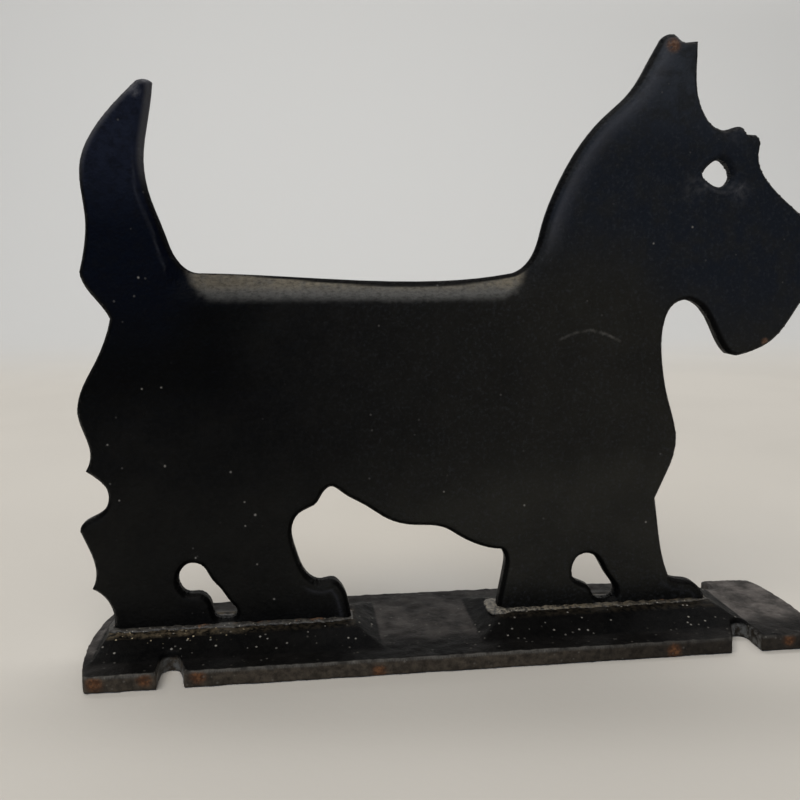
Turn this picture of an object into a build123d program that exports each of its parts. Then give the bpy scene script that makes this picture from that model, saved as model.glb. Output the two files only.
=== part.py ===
"""A terrier paperweight: a flat cast-iron dog standing on a notched cast-iron base.

Millimetres, +Z up. The origin is the middle of the base's underside, and the dog faces +X.
The dog is one flat casting in the XZ plane. A tenon under each pair of feet drops into a
mortise in the base, and a countersunk screw from below pulls it down on its shoulders.
"""
import os

from build123d import *

# ---- dog casting
dog_length = 152.0            # rump to nose
dog_height = 116.4            # sole of the feet to the tip of the ear
plate_thickness = 4.0
blade_drop = 5.4              # how far the thinned edge reaches down from the top of the back
blade_edge = 1.4              # thickness left along the top of the back
blade_end_slant = 0.5         # sideways run of the thinned part's ends, for each unit of drop
blade_end_draft = 0.4         # the ends lean open by this much

# ---- base casting
base_width = 32.0
base_thickness = 3.4
base_end_bow = 2.2            # how far each end bulges past its corners
base_bow_shift = 2.0          # the bulge is fullest this far behind the middle
rear_taper = 2.7              # how far the back edge draws in at the fore end
rear_taper_run = 38.0
heel_margin = 2.7             # base left behind the hind heel
toe_margin = 18.3             # base left in front of the fore toe
front_corner_radius = 1.0
rear_corner_radius = 2.5
boss_rise = 2.4               # height of the raised bosses that carry the feet
boss_ledge = 3.0              # flat left on the boss in front of and behind the plate
boss_slope = 6.5              # run of the boss's long flanks
boss_end_ledge = 0.8          # flat left past the heel and the toe
boss_end_slope = 5.0          # run of the boss's short flanks
boss_heel_slope = 1.8         # the same behind the hind heel, where the base ends
boss_foot_radius = 2.5
boss_top_radius = 1.5
boss_root = 0.5               # how far the boss reaches into the plate below it
notch_depth = 7.1
notch_throat = 3.8            # width of a screw notch at its round inner end

# ---- tenons, mortises and seam
tenon_shoulder = 0.2          # step from the plate's face to the tenon's face
tenon_inset = 4.4             # how far a tenon stops short of the heel and the toe
tenon_depth = 3.3
mortise_clearance = 0.15      # all round the tenon
mortise_floor_gap = 0.3       # air under the tenon, so that its shoulders carry it
seam_width = 1.2              # bead of iron putty round each foot
seam_height = 0.6
seam_gap = 0.05

# ---- screws
screw_diameter = 2.5
thread_mean_diameter = 2.2    # the thread is drawn plain, at its mean diameter
thread_clearance = 0.02
head_diameter = 4.7
head_recess = 0.3             # keeps the head off the table
screw_length = 9.5
screw_clearance = 0.1
hole_runout = 0.5             # tapped hole left past the screw's end
slot_width = 0.6
slot_depth = 0.45
overcut = 1.0                 # how far a cut runs past the face that it leaves through

# each notch: which end, which side, how far its straight wall lies inside the corner, mouth width
notches = [(-1, -1, 13.0, 5.4), (1, -1, 13.1, 7.2), (1, 1, 10.7, 7.5), (-1, 1, 13.0, 5.4)]

# ---- the drawing of the dog: x from the middle of the base, z from the table
drawn_length = 152.0
drawn_height = 116.4
drawn_sole = 5.8
hind_heel, hind_toe = -70.3, -22.8
fore_heel, fore_toe = 8.2, 54.7
hind_screw, fore_screw = -61.0, 42.0
back_start, back_end = -53.2, 11.8
back_top = 76.2

rump = [(hind_heel, drawn_sole), (-70.2, 9.0), (-71.2, 11.7), (-74.0, 14.3)]
hock = [(-74.0, 14.3), (-73.1, 18.0), (-73.9, 21.8), (-75.6, 26.2)]
breeching = [(-75.6, 26.2), (-75.2, 27.5), (-72.4, 29.2), (-70.3, 31.2), (-70.2, 34.6),
             (-71.7, 36.5), (-73.9, 38.2)]
haunch = [(-73.9, 38.2), (-73.0, 43.0), (-74.7, 49.0), (-74.1, 53.3), (-71.0, 59.3), (-68.5, 65.0),
          (-67.8, 67.6)]
tail_root = [(-67.8, 67.6), (-69.3, 70.1), (-71.8, 73.4), (-72.8, 76.4)]
tail_back = [(-72.8, 76.4), (-71.6, 81.5), (-71.2, 86.0), (-71.7, 91.5), (-71.4, 96.8), (-69.0, 101.8),
             (-64.0, 107.7), (-61.2, 110.4)]
tail_front = [(-58.2, 110.5), (-59.6, 102.5), (-60.4, 96.7), (-59.3, 89.5), (-57.3, 84.0),
              (-55.3, 78.9), (-53.3, 76.8), (-50.5, 76.1)]
back = [(-50.5, 76.1), (-30.0, 75.2), (-10.0, 74.5), (3.0, 75.1), (10.0, 76.1)]
neck = [(10.0, 76.1), (12.7, 77.7), (14.7, 80.8), (16.0, 85.5), (18.8, 93.0), (22.3, 99.5),
        (28.0, 106.5), (33.0, 111.2), (36.6, 117.1), (38.7, 120.9)]
ear_tip = [(38.7, 120.9), (39.8, 122.0), (41.3, 122.2), (42.5, 121.3), (43.8, 120.7)]
forehead = [(46.3, 121.0), (46.4, 115.5), (46.9, 111.2), (48.4, 107.5), (50.6, 105.1), (52.9, 104.4),
            (55.4, 105.1), (57.8, 103.7)]
muzzle = [(59.6, 103.6), (60.7, 102.4), (60.6, 99.6), (61.6, 96.5), (65.8, 91.9), (70.8, 88.0),
          (74.6, 84.4), (76.4, 79.8), (75.5, 75.2), (72.3, 70.2), (69.4, 65.6), (66.0, 61.9),
          (62.0, 59.9), (58.6, 59.0)]
throat = [(56.8, 59.4), (53.0, 65.0), (50.0, 69.3), (46.8, 70.7), (44.0, 69.6), (42.3, 66.0),
          (42.4, 57.5), (43.9, 50.5), (45.8, 44.5), (46.3, 41.0), (45.2, 35.8), (42.2, 28.7)]
foreleg = [(42.2, 28.7), (43.3, 22.0), (44.8, 15.0), (46.3, 11.0)]
front_foot = [(46.3, 11.0), (48.6, 10.2), (51.3, 9.7), (53.5, 8.0), (fore_toe, drawn_sole)]
elbow = [(fore_heel, drawn_sole), (8.8, 10.0), (9.6, 14.5), (9.7, 17.3), (8.8, 18.9)]
belly = [(8.8, 18.9), (3.5, 20.2), (0.0, 22.0), (-3.5, 24.1), (-9.0, 24.8), (-15.0, 26.3),
         (-20.0, 29.6), (-24.3, 32.2), (-26.8, 33.6), (-28.3, 32.4), (-29.6, 30.3), (-33.2, 28.2),
         (-34.7, 24.8), (-33.8, 20.0), (-31.7, 15.2), (-29.0, 13.7), (-26.6, 14.0), (-24.6, 12.3),
         (-23.3, 8.7), (hind_toe, drawn_sole)]
hind_keyhole = [(-54.4, 18.8), (-52.2, 17.7), (-50.9, 15.3), (-49.2, 13.2), (-47.3, 10.3), (-46.0, 8.2),
                (-46.5, 7.0), (-48.3, 6.6), (-50.2, 7.1), (-50.8, 8.9), (-51.6, 11.1), (-53.4, 12.3),
                (-55.6, 12.4), (-57.3, 14.4), (-57.1, 16.9), (-55.9, 18.4)]
fore_keyhole = [(27.5, 17.1), (25.4, 16.2), (24.4, 13.9), (24.8, 11.7), (26.8, 10.5), (28.6, 9.3),
                (29.3, 7.6), (30.4, 6.8), (31.8, 6.6), (33.5, 7.0), (34.3, 8.2), (33.8, 9.8),
                (32.2, 12.0), (30.8, 14.4), (29.4, 16.4)]
eye = [(48.8, 96.0), (50.4, 97.9), (52.5, 98.7), (54.3, 97.4), (55.1, 95.6), (54.2, 93.8),
       (52.5, 93.3), (50.3, 94.1)]

# ---- what follows from the sizes above
half_plate = plate_thickness / 2
stretch_x = dog_length / drawn_length
stretch_z = dog_height / drawn_height
base_length = heel_margin + (fore_toe - hind_heel) * stretch_x + toe_margin
half_base = base_width / 2
sole_level = base_thickness + boss_rise
tenon_bottom = sole_level - tenon_depth
mortise_floor = tenon_bottom - mortise_floor_gap
tenon_thickness = plate_thickness - 2 * tenon_shoulder
head_height = (head_diameter - screw_diameter) / 2
feet = {
    "hind": (hind_heel, hind_toe, hind_screw, boss_heel_slope),
    "fore": (fore_heel, fore_toe, fore_screw, boss_end_slope),
}


def along(x):
    """Where a drawn x lies along the base."""
    return heel_margin - base_length / 2 + (x - hind_heel) * stretch_x


def above(z):
    """Where a drawn height lies above the table."""
    return sole_level + (z - drawn_sole) * stretch_z


def at(point):
    """A drawn point at the dog's real size."""
    return (along(point[0]), above(point[1]))


def curve(points):
    """One smooth stretch of the outline through drawn points."""
    return Spline(*[at(point) for point in points])


def straight(start, end):
    """One straight stretch of the outline between drawn points."""
    return Line(at(start), at(end))


def ring(points):
    """A smooth closed outline through drawn points."""
    return Spline(*[at(point) for point in points], periodic=True)


# ---- the dog: one flat casting with a tenon under each pair of feet
with BuildPart() as terrier_plate:
    with BuildSketch(Plane.XZ):
        with BuildLine():
            for stretch in (rump, hock, breeching, haunch, tail_root, tail_back):
                curve(stretch)
            ThreePointArc(at(tail_back[-1]), at((-60.0, 111.0)), at(tail_front[0]))
            for stretch in (tail_front, back, neck, ear_tip):
                curve(stretch)
            straight(ear_tip[-1], forehead[0])
            curve(forehead)
            straight(forehead[-1], muzzle[0])
            curve(muzzle)
            straight(muzzle[-1], throat[0])
            for stretch in (throat, foreleg, front_foot):
                curve(stretch)
            straight(front_foot[-1], elbow[0])
            for stretch in (elbow, belly):
                curve(stretch)
            straight(belly[-1], rump[0])
        make_face()
        for hole in (hind_keyhole, fore_keyhole, eye):
            with BuildLine():
                ring(hole)
            make_face(mode=Mode.SUBTRACT)
    extrude(amount=half_plate, both=True)

    # the back is thinned from both faces to a narrow edge
    blade_top = above(back_top)
    for side in (-1, 1):
        for y, drop, draft in (
            (side * half_plate, blade_drop, 0),
            (side * blade_edge / 2, 0, blade_end_draft),
        ):
            start = along(back_start) + draft
            end = along(back_end) - draft
            with BuildSketch(Plane.XZ.offset(-y)):
                with BuildLine():
                    Polyline(
                        (start - overcut * blade_end_slant, blade_top + overcut),
                        (start + drop * blade_end_slant, blade_top - drop),
                        (end - drop * blade_end_slant, blade_top - drop),
                        (end + overcut * blade_end_slant, blade_top + overcut),
                        close=True,
                    )
                make_face()
        loft(mode=Mode.SUBTRACT)

    # tenons, each tapped for its screw
    for heel, toe, screw_x, heel_slope in feet.values():
        middle = (along(heel) + along(toe)) / 2
        length = along(toe) - along(heel) - 2 * tenon_inset
        with BuildSketch(Plane.XY.offset(tenon_bottom)):
            with Locations((middle, 0)):
                Rectangle(length, tenon_thickness)
        extrude(amount=tenon_depth)
        with BuildSketch(Plane.XY.offset(tenon_bottom)):
            with Locations((along(screw_x), 0)):
                Circle(thread_mean_diameter / 2 + thread_clearance)
        extrude(amount=head_recess + screw_length + hole_runout - tenon_bottom, mode=Mode.SUBTRACT)

# ---- the base: a thin plate with bowed ends, two raised bosses and four open screw notches
corner_x = base_length / 2
with BuildPart() as base_plate:
    with BuildSketch():
        with BuildLine():
            front = Line((-corner_x, -half_base), (corner_x, -half_base))
            fore_end = ThreePointArc(
                front @ 1,
                (corner_x + base_end_bow, base_bow_shift),
                (corner_x + base_end_bow / 3, half_base - rear_taper),
            )
            taper = Line(fore_end @ 1, (corner_x - rear_taper_run, half_base))
            rear = Line(taper @ 1, (-corner_x, half_base))
            ThreePointArc(rear @ 1, (-corner_x - base_end_bow, base_bow_shift), front @ 0)
        make_face()
    extrude(amount=base_thickness)
    corners = base_plate.edges().filter_by(Axis.Z)
    fillet(corners.filter_by(lambda edge: edge.center().Y < 0), radius=front_corner_radius)
    corners = base_plate.edges().filter_by(Axis.Z)
    fillet(corners.sort_by(Axis.X)[-1], radius=rear_corner_radius)
    fillet(corners.group_by(Axis.Y)[-1].sort_by(Axis.X)[0], radius=rear_corner_radius)

    # a raised boss under each pair of feet, with a mortise for the tenon
    for heel, toe, screw_x, heel_slope in feet.values():
        middle = (along(heel) + along(toe)) / 2
        foot_length = along(toe) - along(heel)
        top_length = foot_length + 2 * boss_end_ledge
        top_width = plate_thickness + 2 * boss_ledge
        with BuildSketch(Plane.XY.offset(base_thickness - boss_root)):
            with Locations((middle + (boss_end_slope - heel_slope) / 2, 0)):
                RectangleRounded(
                    top_length + boss_end_slope + heel_slope,
                    top_width + 2 * boss_slope,
                    boss_foot_radius,
                )
        with BuildSketch(Plane.XY.offset(sole_level)):
            with Locations((middle, 0)):
                RectangleRounded(top_length, top_width, boss_top_radius)
        loft()
        with BuildSketch(Plane.XY.offset(sole_level)):
            with Locations((middle, 0)):
                Rectangle(
                    foot_length - 2 * tenon_inset + 2 * mortise_clearance,
                    tenon_thickness + 2 * mortise_clearance,
                )
        extrude(amount=mortise_floor - sole_level, mode=Mode.SUBTRACT)

        # a countersunk hole through the floor of the mortise
        sink_radius = head_diameter / 2 + screw_clearance
        hole_radius = screw_diameter / 2 + screw_clearance
        with BuildSketch(Plane.XZ.move(Location((along(screw_x), 0, 0)))):
            with BuildLine():
                Polyline(
                    (0, -overcut),
                    (sink_radius, -overcut),
                    (sink_radius, head_recess),
                    (hole_radius, head_recess + head_height),
                    (hole_radius, mortise_floor + overcut),
                    (0, mortise_floor + overcut),
                    close=True,
                )
            make_face()
        revolve(axis=Axis((along(screw_x), 0, 0), (0, 0, 1)), mode=Mode.SUBTRACT)

    # open screw notches: the outboard wall is straight, the inboard wall flares to the mouth
    for end, side, wall_inset, mouth in notches:
        wall = end * (corner_x - wall_inset)
        edge = side * (half_base + overcut)
        throat_radius = notch_throat / 2
        inner = side * (half_base - notch_depth + throat_radius)
        with BuildSketch():
            with BuildLine():
                Polyline(
                    (wall, edge),
                    (wall - end * mouth, edge),
                    (wall - end * notch_throat, inner),
                    (wall, inner),
                    close=True,
                )
            make_face()
            with Locations((wall - end * throat_radius, inner)):
                Circle(throat_radius)
        extrude(amount=sole_level + overcut, mode=Mode.SUBTRACT)

parts = {"terrier_plate": terrier_plate, "base_plate": base_plate}

# ---- a bead of iron putty round each foot, lying on the boss
for foot, (heel, toe, screw_x, heel_slope) in feet.items():
    middle = (along(heel) + along(toe)) / 2
    inner_length = along(toe) - along(heel) + 2 * seam_gap
    inner_width = plate_thickness + 2 * seam_gap
    with BuildPart() as seam_bead:
        with BuildSketch(Plane.XY.offset(sole_level)):
            with Locations((middle, 0)):
                RectangleRounded(inner_length + 2 * seam_width, inner_width + 2 * seam_width, seam_width)
                Rectangle(inner_length, inner_width, mode=Mode.SUBTRACT)
        extrude(amount=seam_height)
        crest = seam_bead.faces().sort_by(Axis.Z)[-1].outer_wire()
        chamfer(crest.edges(), length=seam_height / 2, length2=seam_width / 2)
    parts[f"{foot}_seam_bead"] = seam_bead

# ---- a slotted countersunk screw up into each tenon
for foot, (heel, toe, screw_x, heel_slope) in feet.items():
    with BuildPart() as foot_screw:
        with BuildSketch(Plane.XZ.move(Location((along(screw_x), 0, 0)))):
            with BuildLine():
                Polyline(
                    (0, head_recess),
                    (head_diameter / 2, head_recess),
                    (screw_diameter / 2, head_recess + head_height),
                    (screw_diameter / 2, tenon_bottom - screw_clearance),
                    (thread_mean_diameter / 2, tenon_bottom - screw_clearance),
                    (thread_mean_diameter / 2, head_recess + screw_length),
                    (0, head_recess + screw_length),
                    close=True,
                )
            make_face()
        revolve(axis=Axis((along(screw_x), 0, 0), (0, 0, 1)))
        with BuildSketch(Plane.XY.offset(head_recess)):
            with Locations((along(screw_x), 0)):
                Rectangle(head_diameter + overcut, slot_width)
        extrude(amount=slot_depth, mode=Mode.SUBTRACT)
    parts[f"{foot}_foot_screw"] = foot_screw

os.makedirs("parts", exist_ok=True)
for name, piece in parts.items():
    piece.part.label = name
    export_step(piece.part, f"parts/{name}.step")
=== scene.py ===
import math

import bmesh
import bpy
import numpy as np
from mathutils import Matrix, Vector, geometry


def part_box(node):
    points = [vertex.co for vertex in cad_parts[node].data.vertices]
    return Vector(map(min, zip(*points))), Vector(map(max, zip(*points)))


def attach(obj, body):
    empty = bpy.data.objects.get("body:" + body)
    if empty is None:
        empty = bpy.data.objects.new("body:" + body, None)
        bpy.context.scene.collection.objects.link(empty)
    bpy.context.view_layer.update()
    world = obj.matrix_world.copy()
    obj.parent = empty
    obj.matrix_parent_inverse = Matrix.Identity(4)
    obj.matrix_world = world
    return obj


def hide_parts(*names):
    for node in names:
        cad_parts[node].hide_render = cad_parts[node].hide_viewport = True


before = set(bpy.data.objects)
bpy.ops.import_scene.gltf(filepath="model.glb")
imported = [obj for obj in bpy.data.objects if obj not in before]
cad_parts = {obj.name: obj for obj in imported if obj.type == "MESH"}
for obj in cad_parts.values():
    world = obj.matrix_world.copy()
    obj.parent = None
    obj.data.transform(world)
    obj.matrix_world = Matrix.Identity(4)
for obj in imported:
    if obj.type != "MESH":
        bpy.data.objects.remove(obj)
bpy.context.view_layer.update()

# A terrier as one flat iron casting, standing on a notched iron base, under black enamel.
# Lengths are millimetres until a mesh is made. x runs along the base, y across it, z up.
mm = 0.001
everywhere = 1e9
workLimit = 4000000      # most point-and-segment pairs worked out at once
spacing = {
    "free": 0.2,             # size of the cells that thin out points, in general
    "mark": 0.07,            # and round the marks
    "markToRim": 0.3,        # no mark's points come closer to the outline than this
    "innerStart": 1.25,      # inner points start this many times the last row's distance in
}


def wave(points, wavelength, seed):
    # a fifth of the sum of 14 sine waves that run in random directions, mostly -1 to 1
    waves = 14
    rng = np.random.default_rng(seed)
    directions = rng.normal(size=(waves, points.shape[1]))
    directions /= np.linalg.norm(directions, axis=1, keepdims=True)
    lengths = wavelength * rng.uniform(0.6, 1.6, waves)
    phases = rng.uniform(0, 2 * np.pi, waves)
    return np.sin(points @ (2 * np.pi * directions / lengths[:, None]).T + phases).sum(1) / 5


def smooth(low, high, value):
    # 3t^2 - 2t^3 of the share t of the way from low to high
    t = np.clip((value - low) / (high - low), 0, 1)
    return t * t * (3 - 2 * t)


def allEdges(faces):
    # each triangle's three edges, in the order in which it turns
    return np.concatenate([faces[:, [0, 1]], faces[:, [1, 2]], faces[:, [2, 0]]])


def usedOnce(edges):
    # the edges that come only once, whichever way they run
    _, inverse, count = np.unique(np.sort(edges, axis=1), axis=0, return_inverse=True, return_counts=True)
    return edges[count[inverse.reshape(-1)] == 1]


def outlineOf(node, axes, facing, low=(-everywhere,) * 3, high=(everywhere,) * 3):
    # edges that only one triangle has, of those that face that way in that box, as loose segments
    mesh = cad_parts[node].data
    mesh.calc_loop_triangles()
    co = np.empty(len(mesh.vertices) * 3, np.float32)
    mesh.vertices.foreach_get("co", co)
    tri = np.empty(len(mesh.loop_triangles) * 3, np.int32)
    mesh.loop_triangles.foreach_get("vertices", tri)
    co = co.reshape(-1, 3).astype(float) / mm
    tri = tri.reshape(-1, 3)
    corner = co[tri]
    normal = np.cross(corner[:, 1] - corner[:, 0], corner[:, 2] - corner[:, 0])
    normal /= np.linalg.norm(normal, axis=1, keepdims=True) + 1e-12
    place = corner.mean(1)
    kept = tri[(normal @ np.array(facing) > 0.02) & (place > low).all(1) & (place < high).all(1)]
    flat, index = np.unique(np.round(co[:, axes], 3), axis=0, return_inverse=True)
    kept = index.reshape(-1)[kept]
    edges = allEdges(kept)
    edges = usedOnce(edges[edges[:, 0] != edges[:, 1]])
    return flat[edges[:, 0]], flat[edges[:, 1]]


def cut(segments, step):
    # each segment in equal pieces no longer than step
    a, b = segments
    parts = np.maximum(1, np.ceil(np.linalg.norm(b - a, axis=1) / step)).astype(int)
    which = np.repeat(np.arange(len(a)), parts)
    rank = np.arange(len(which)) - np.repeat(np.cumsum(parts) - parts, parts)
    lo = (rank / parts[which])[:, None]
    hi = ((rank + 1) / parts[which])[:, None]
    return a[which] + (b - a)[which] * lo, a[which] + (b - a)[which] * hi


def inBatches(points, segments):
    # row numbers of the points in groups, so that no group makes too large an array
    return np.array_split(np.arange(len(points)), len(points) * len(segments) // workLimit + 1)


def toOutline(points, segments):
    # distance from each point to the nearest segment, and the place there
    a, b = segments
    run = b - a
    best = np.full(len(points), everywhere)
    place = np.zeros_like(points)
    for part in inBatches(points, a):
        p = points[part][:, None]
        t = np.clip(((p - a) * run).sum(2) / (run * run).sum(1), 0, 1)
        near = a + run * t[..., None]
        gap = np.linalg.norm(p - near, axis=2)
        choice = gap.argmin(1)
        rows = np.arange(len(part))
        best[part] = gap[rows, choice]
        place[part] = near[rows, choice]
    return best, place


def isInside(points, segments):
    # a point is inside when a ray to the right crosses the outline an odd number of times
    a, b = segments
    result = np.zeros(len(points), bool)
    for part in inBatches(points, a):
        p = points[part][:, None]
        spans = (a[:, 1] > p[..., 1]) != (b[:, 1] > p[..., 1])
        slope = (b[:, 0] - a[:, 0]) / np.where(b[:, 1] == a[:, 1], 1, b[:, 1] - a[:, 1])
        crossing = a[:, 0] + (p[..., 1] - a[:, 1]) * slope
        result[part] = (spans & (p[..., 0] < crossing)).sum(1) % 2 == 1
    return result


def sideways(segments):
    # each segment's middle, and its direction turned a quarter turn, of length 1
    a, b = segments
    run = b - a
    turned = np.stack([run[:, 1], -run[:, 0]], 1)
    return (a + b) / 2, turned / np.linalg.norm(run, axis=1, keepdims=True)


def trueRim(segments, reach=0.05):
    # only the segments with the solid on one side of them and air on the other
    middle, side = sideways(segments)
    kept = isInside(middle + side * reach, segments) != isInside(middle - side * reach, segments)
    return segments[0][kept], segments[1][kept]


def thinned(points, gap):
    # one point for each square cell of a grid, the grid laid four times, half a cell apart
    for shift in ((0, 0), (0.5, 0), (0, 0.5), (0.5, 0.5)):
        _, first = np.unique(np.floor(points / gap + shift), axis=0, return_index=True)
        points = points[np.sort(first)]
    return points


def triangulate(segments, rings, inner, marks=None):
    # Delaunay triangles between the outline, rows of points at set distances in from it, and inner
    # points, with close points thinned out, more gently round the marks
    a, b = segments
    middle, outward = sideways(segments)
    outward[isInside(middle + outward * 0.02, segments)] *= -1
    rows = [middle - outward * ring for ring in rings]
    rows = [row[toOutline(row, segments)[0] > ring * 0.98] for row, ring in zip(rows, rings)]
    inner = inner[isInside(inner, segments)]
    inner = inner[toOutline(inner, segments)[0] > rings[-1] * spacing["innerStart"]]
    rim, index = np.unique(np.round(np.concatenate([a, b]), 4), axis=0, return_inverse=True)
    index = index.reshape(2, -1).T
    free = thinned(np.concatenate(rows + [inner]), spacing["free"])
    if marks is not None:
        marks = marks[isInside(marks, segments) & (toOutline(marks, segments)[0] > spacing["markToRim"])]
        free = thinned(np.concatenate([marks, free]), spacing["mark"])
    points = np.concatenate([rim, free])
    found = geometry.delaunay_2d_cdt([Vector(p) for p in points.tolist()], index.tolist(), [], 0, 1e-5)
    points = np.array([tuple(v) for v in found[0]])
    faces = np.array([f for f in found[2] if len(f) == 3])
    faces = faces[isInside(points[faces].mean(1), segments)]
    p, q, r = points[faces[:, 0]], points[faces[:, 1]], points[faces[:, 2]]
    turn = (q - p)[:, 0] * (r - p)[:, 1] - (q - p)[:, 1] * (r - p)[:, 0]
    faces[turn < 0] = faces[turn < 0][:, ::-1]
    return points, faces[np.abs(turn) > 1e-9]


def walls(edges, starts):
    # a strip of quads under each edge, from each level of points to the next
    return np.concatenate([
        np.stack([edges[:, 0] + lo, edges[:, 0] + hi, edges[:, 1] + hi, edges[:, 1] + lo], 1)
        for lo, hi in zip(starts[:-1], starts[1:])
    ])


def usedOnly(points, *faceSets):
    # drops the points that no face uses: which points stay, and the faces numbered anew
    used = np.unique(np.concatenate([faces.ravel() for faces in faceSets]))
    remap = np.zeros(len(points), int)
    remap[used] = np.arange(len(used))
    return used, *(remap[faces] for faces in faceSets)


def rounded(level, fromRim, radius):
    # the level, less a quarter circle of that radius along the rim
    depth = np.clip(fromRim, 0, radius)
    return level - radius + np.sqrt(np.maximum(radius**2 - (radius - depth) ** 2, 0))


def ridge(distance, place, width):
    # a bell curve, 1 at that place
    return np.exp(-((distance - place) / width) ** 2)


def makePiece(name, points, triangles, quads=None, attributes=None, merge=None):
    # one mesh object from arrays, its faces smooth, its number attributes on the points, and points
    # closer than merge millimetres joined
    mesh = bpy.data.meshes.new(name)
    faces = triangles.tolist() + ([] if quads is None else quads.tolist())
    mesh.from_pydata((points * mm).tolist(), [], faces)
    mesh.polygons.foreach_set("use_smooth", np.ones(len(mesh.polygons), bool))
    for key, values in (attributes or {}).items():
        layer = mesh.attributes.new(key, "FLOAT", "POINT")
        layer.data.foreach_set("value", values.astype(np.float32))
    if merge:
        bm = bmesh.new()
        bm.from_mesh(mesh)
        bmesh.ops.remove_doubles(bm, verts=bm.verts, dist=merge * mm)
        bm.to_mesh(mesh)
        bm.free()
    mesh.validate()
    piece = bpy.data.objects.new(name, mesh)
    bpy.context.scene.collection.objects.link(piece)
    return piece


def gridOver(low, high, step, seed):
    # a square grid of points, each pushed about a little so that no rows show
    xs, zs = np.meshgrid(np.arange(low[0], high[0], step), np.arange(low[1], high[1], step))
    points = np.stack([xs.ravel(), zs.ravel()], 1)
    return points + np.random.default_rng(seed).uniform(-0.15, 0.15, points.shape) * step


dog = {
    "halfThickness": 2.0,
    "rimRadius": 1.15,       # roundness of the cast edges
    "saddleLine": 70.6,      # the thinned back starts at this height
    "unevenness": 0.05,      # how far the cast faces wander
    "eye": (52.0, 96.0),
    "eyeRing": 0.13,         # how far the ring round the eye stands up
    "footDepth": 0.5,        # the feet run this far down into the bosses
    "rimStep": 0.42,         # longest step along the rim
    "faceGrid": 1.5,
    "saddleGrid": 0.45,
    "eyeGrid": 0.4,
    # heights, and at each the width of the slope on the tail and neck, and the half thickness left
    "tailSlope": ([76.2, 79.0, 84.0, 92.0, 96.0, 110.0], [5.3, 2.3, 1.75, 1.9, 1.5, 1.4]),
    "neckSlope": ([76.2, 79.0, 85.0, 120.0], [5.3, 2.7, 2.0, 1.9]),
    "thinEdge": ([76.5, 80.0, 90.0], [0.7, 1.05, 1.3]),
}

# small marks on the faces: x, z, radius
dustSpecks = [
    (-62.0, 75.3, 0.3), (-69.3, 43.6, 0.25), (-58.8, 39.1, 0.3), (-67.7, 32.5, 0.25), (-58.8, 54.5, 0.25),
    (-62.4, 54.3, 0.25), (-46.3, 37.5, 0.3), (-41.8, 28.6, 0.35), (-43.8, 31.3, 0.25), (-43.8, 26.4, 0.25),
    (-41.7, 18.3, 0.25), (-38.5, 10.8, 0.3), (-53.7, 20.2, 0.25), (13.3, 28.5, 0.3), (40.0, 23.8, 0.3),
    (-3.7, 32.0, 0.25), (46.8, 85.3, 0.3), (38.7, 82.0, 0.25),
]
rustChips = [(40.9, 119.9, 1.8), (64.2, 62.0, 1.0)]
wornSpots = [(-61.0, 108.7, 1.4)]
smears = [(47.0, 92.8, 3.6), (56.6, 92.2, 3.2), (54.5, 104.0, 3.0)]
# a long scratch on the shoulder, as a run of x, z points
scratches = [
    [(19.8, 62.8), (23.0, 64.2), (26.1, 64.7), (29.5, 63.9), (32.5, 62.4)],
]


def spotField(points, spots):
    # 1 in the middle of each spot, falling to 0 at its radius
    centres = np.array(spots)
    gap = np.linalg.norm(points[:, None] - centres[:, :2], axis=2) / centres[:, 2]
    return smooth(1.0, 0.35, gap).max(1)


def spotPoints(spots, seed):
    # extra points on four circles in each spot, so that the mesh can carry it
    centres = np.array(spots)
    angle = np.linspace(0, 2 * np.pi, 10, endpoint=False)
    radii = np.array([0.3, 0.6, 0.9, 1.2])
    ring = (radii[:, None, None] * np.stack([np.cos(angle), np.sin(angle)], 1)).reshape(-1, 2)
    points = (centres[:, None, :2] + ring * centres[:, None, 2:]).reshape(-1, 2)
    return points + np.random.default_rng(seed).uniform(-0.02, 0.02, points.shape)


def relax(values, faces, held, rounds):
    # each value moves half way to the mean of its neighbours, round after round; held ones stay
    a, b = allEdges(faces).T
    total = len(values)
    count = np.bincount(a, minlength=total) + np.bincount(b, minlength=total)
    for _ in range(rounds):
        around = np.bincount(a, values[b], total) + np.bincount(b, values[a], total)
        values = np.where(held, values, (values + around / np.maximum(count, 1)) / 2)
    return values


def thinnedRim(outline):
    # the rim along the tail's front, the back and the neck, where the casting is thinned
    middle, outward = sideways(outline)
    x, z = middle.T
    onTail = (x < -50.0) & (x > -62.0) & (z > 76.0) & (outward[:, 0] > 0.1)
    onBack = (x > -53.0) & (x < 13.0) & (z > 73.0) & (z < 79.0) & (outward[:, 1] > 0.3)
    onNeck = (x > 9.0) & (x < 40.0) & (z > 76.0) & (outward[:, 0] < -0.1)
    kept = onTail | onBack | onNeck
    return outline[0][kept], outline[1][kept]


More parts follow.
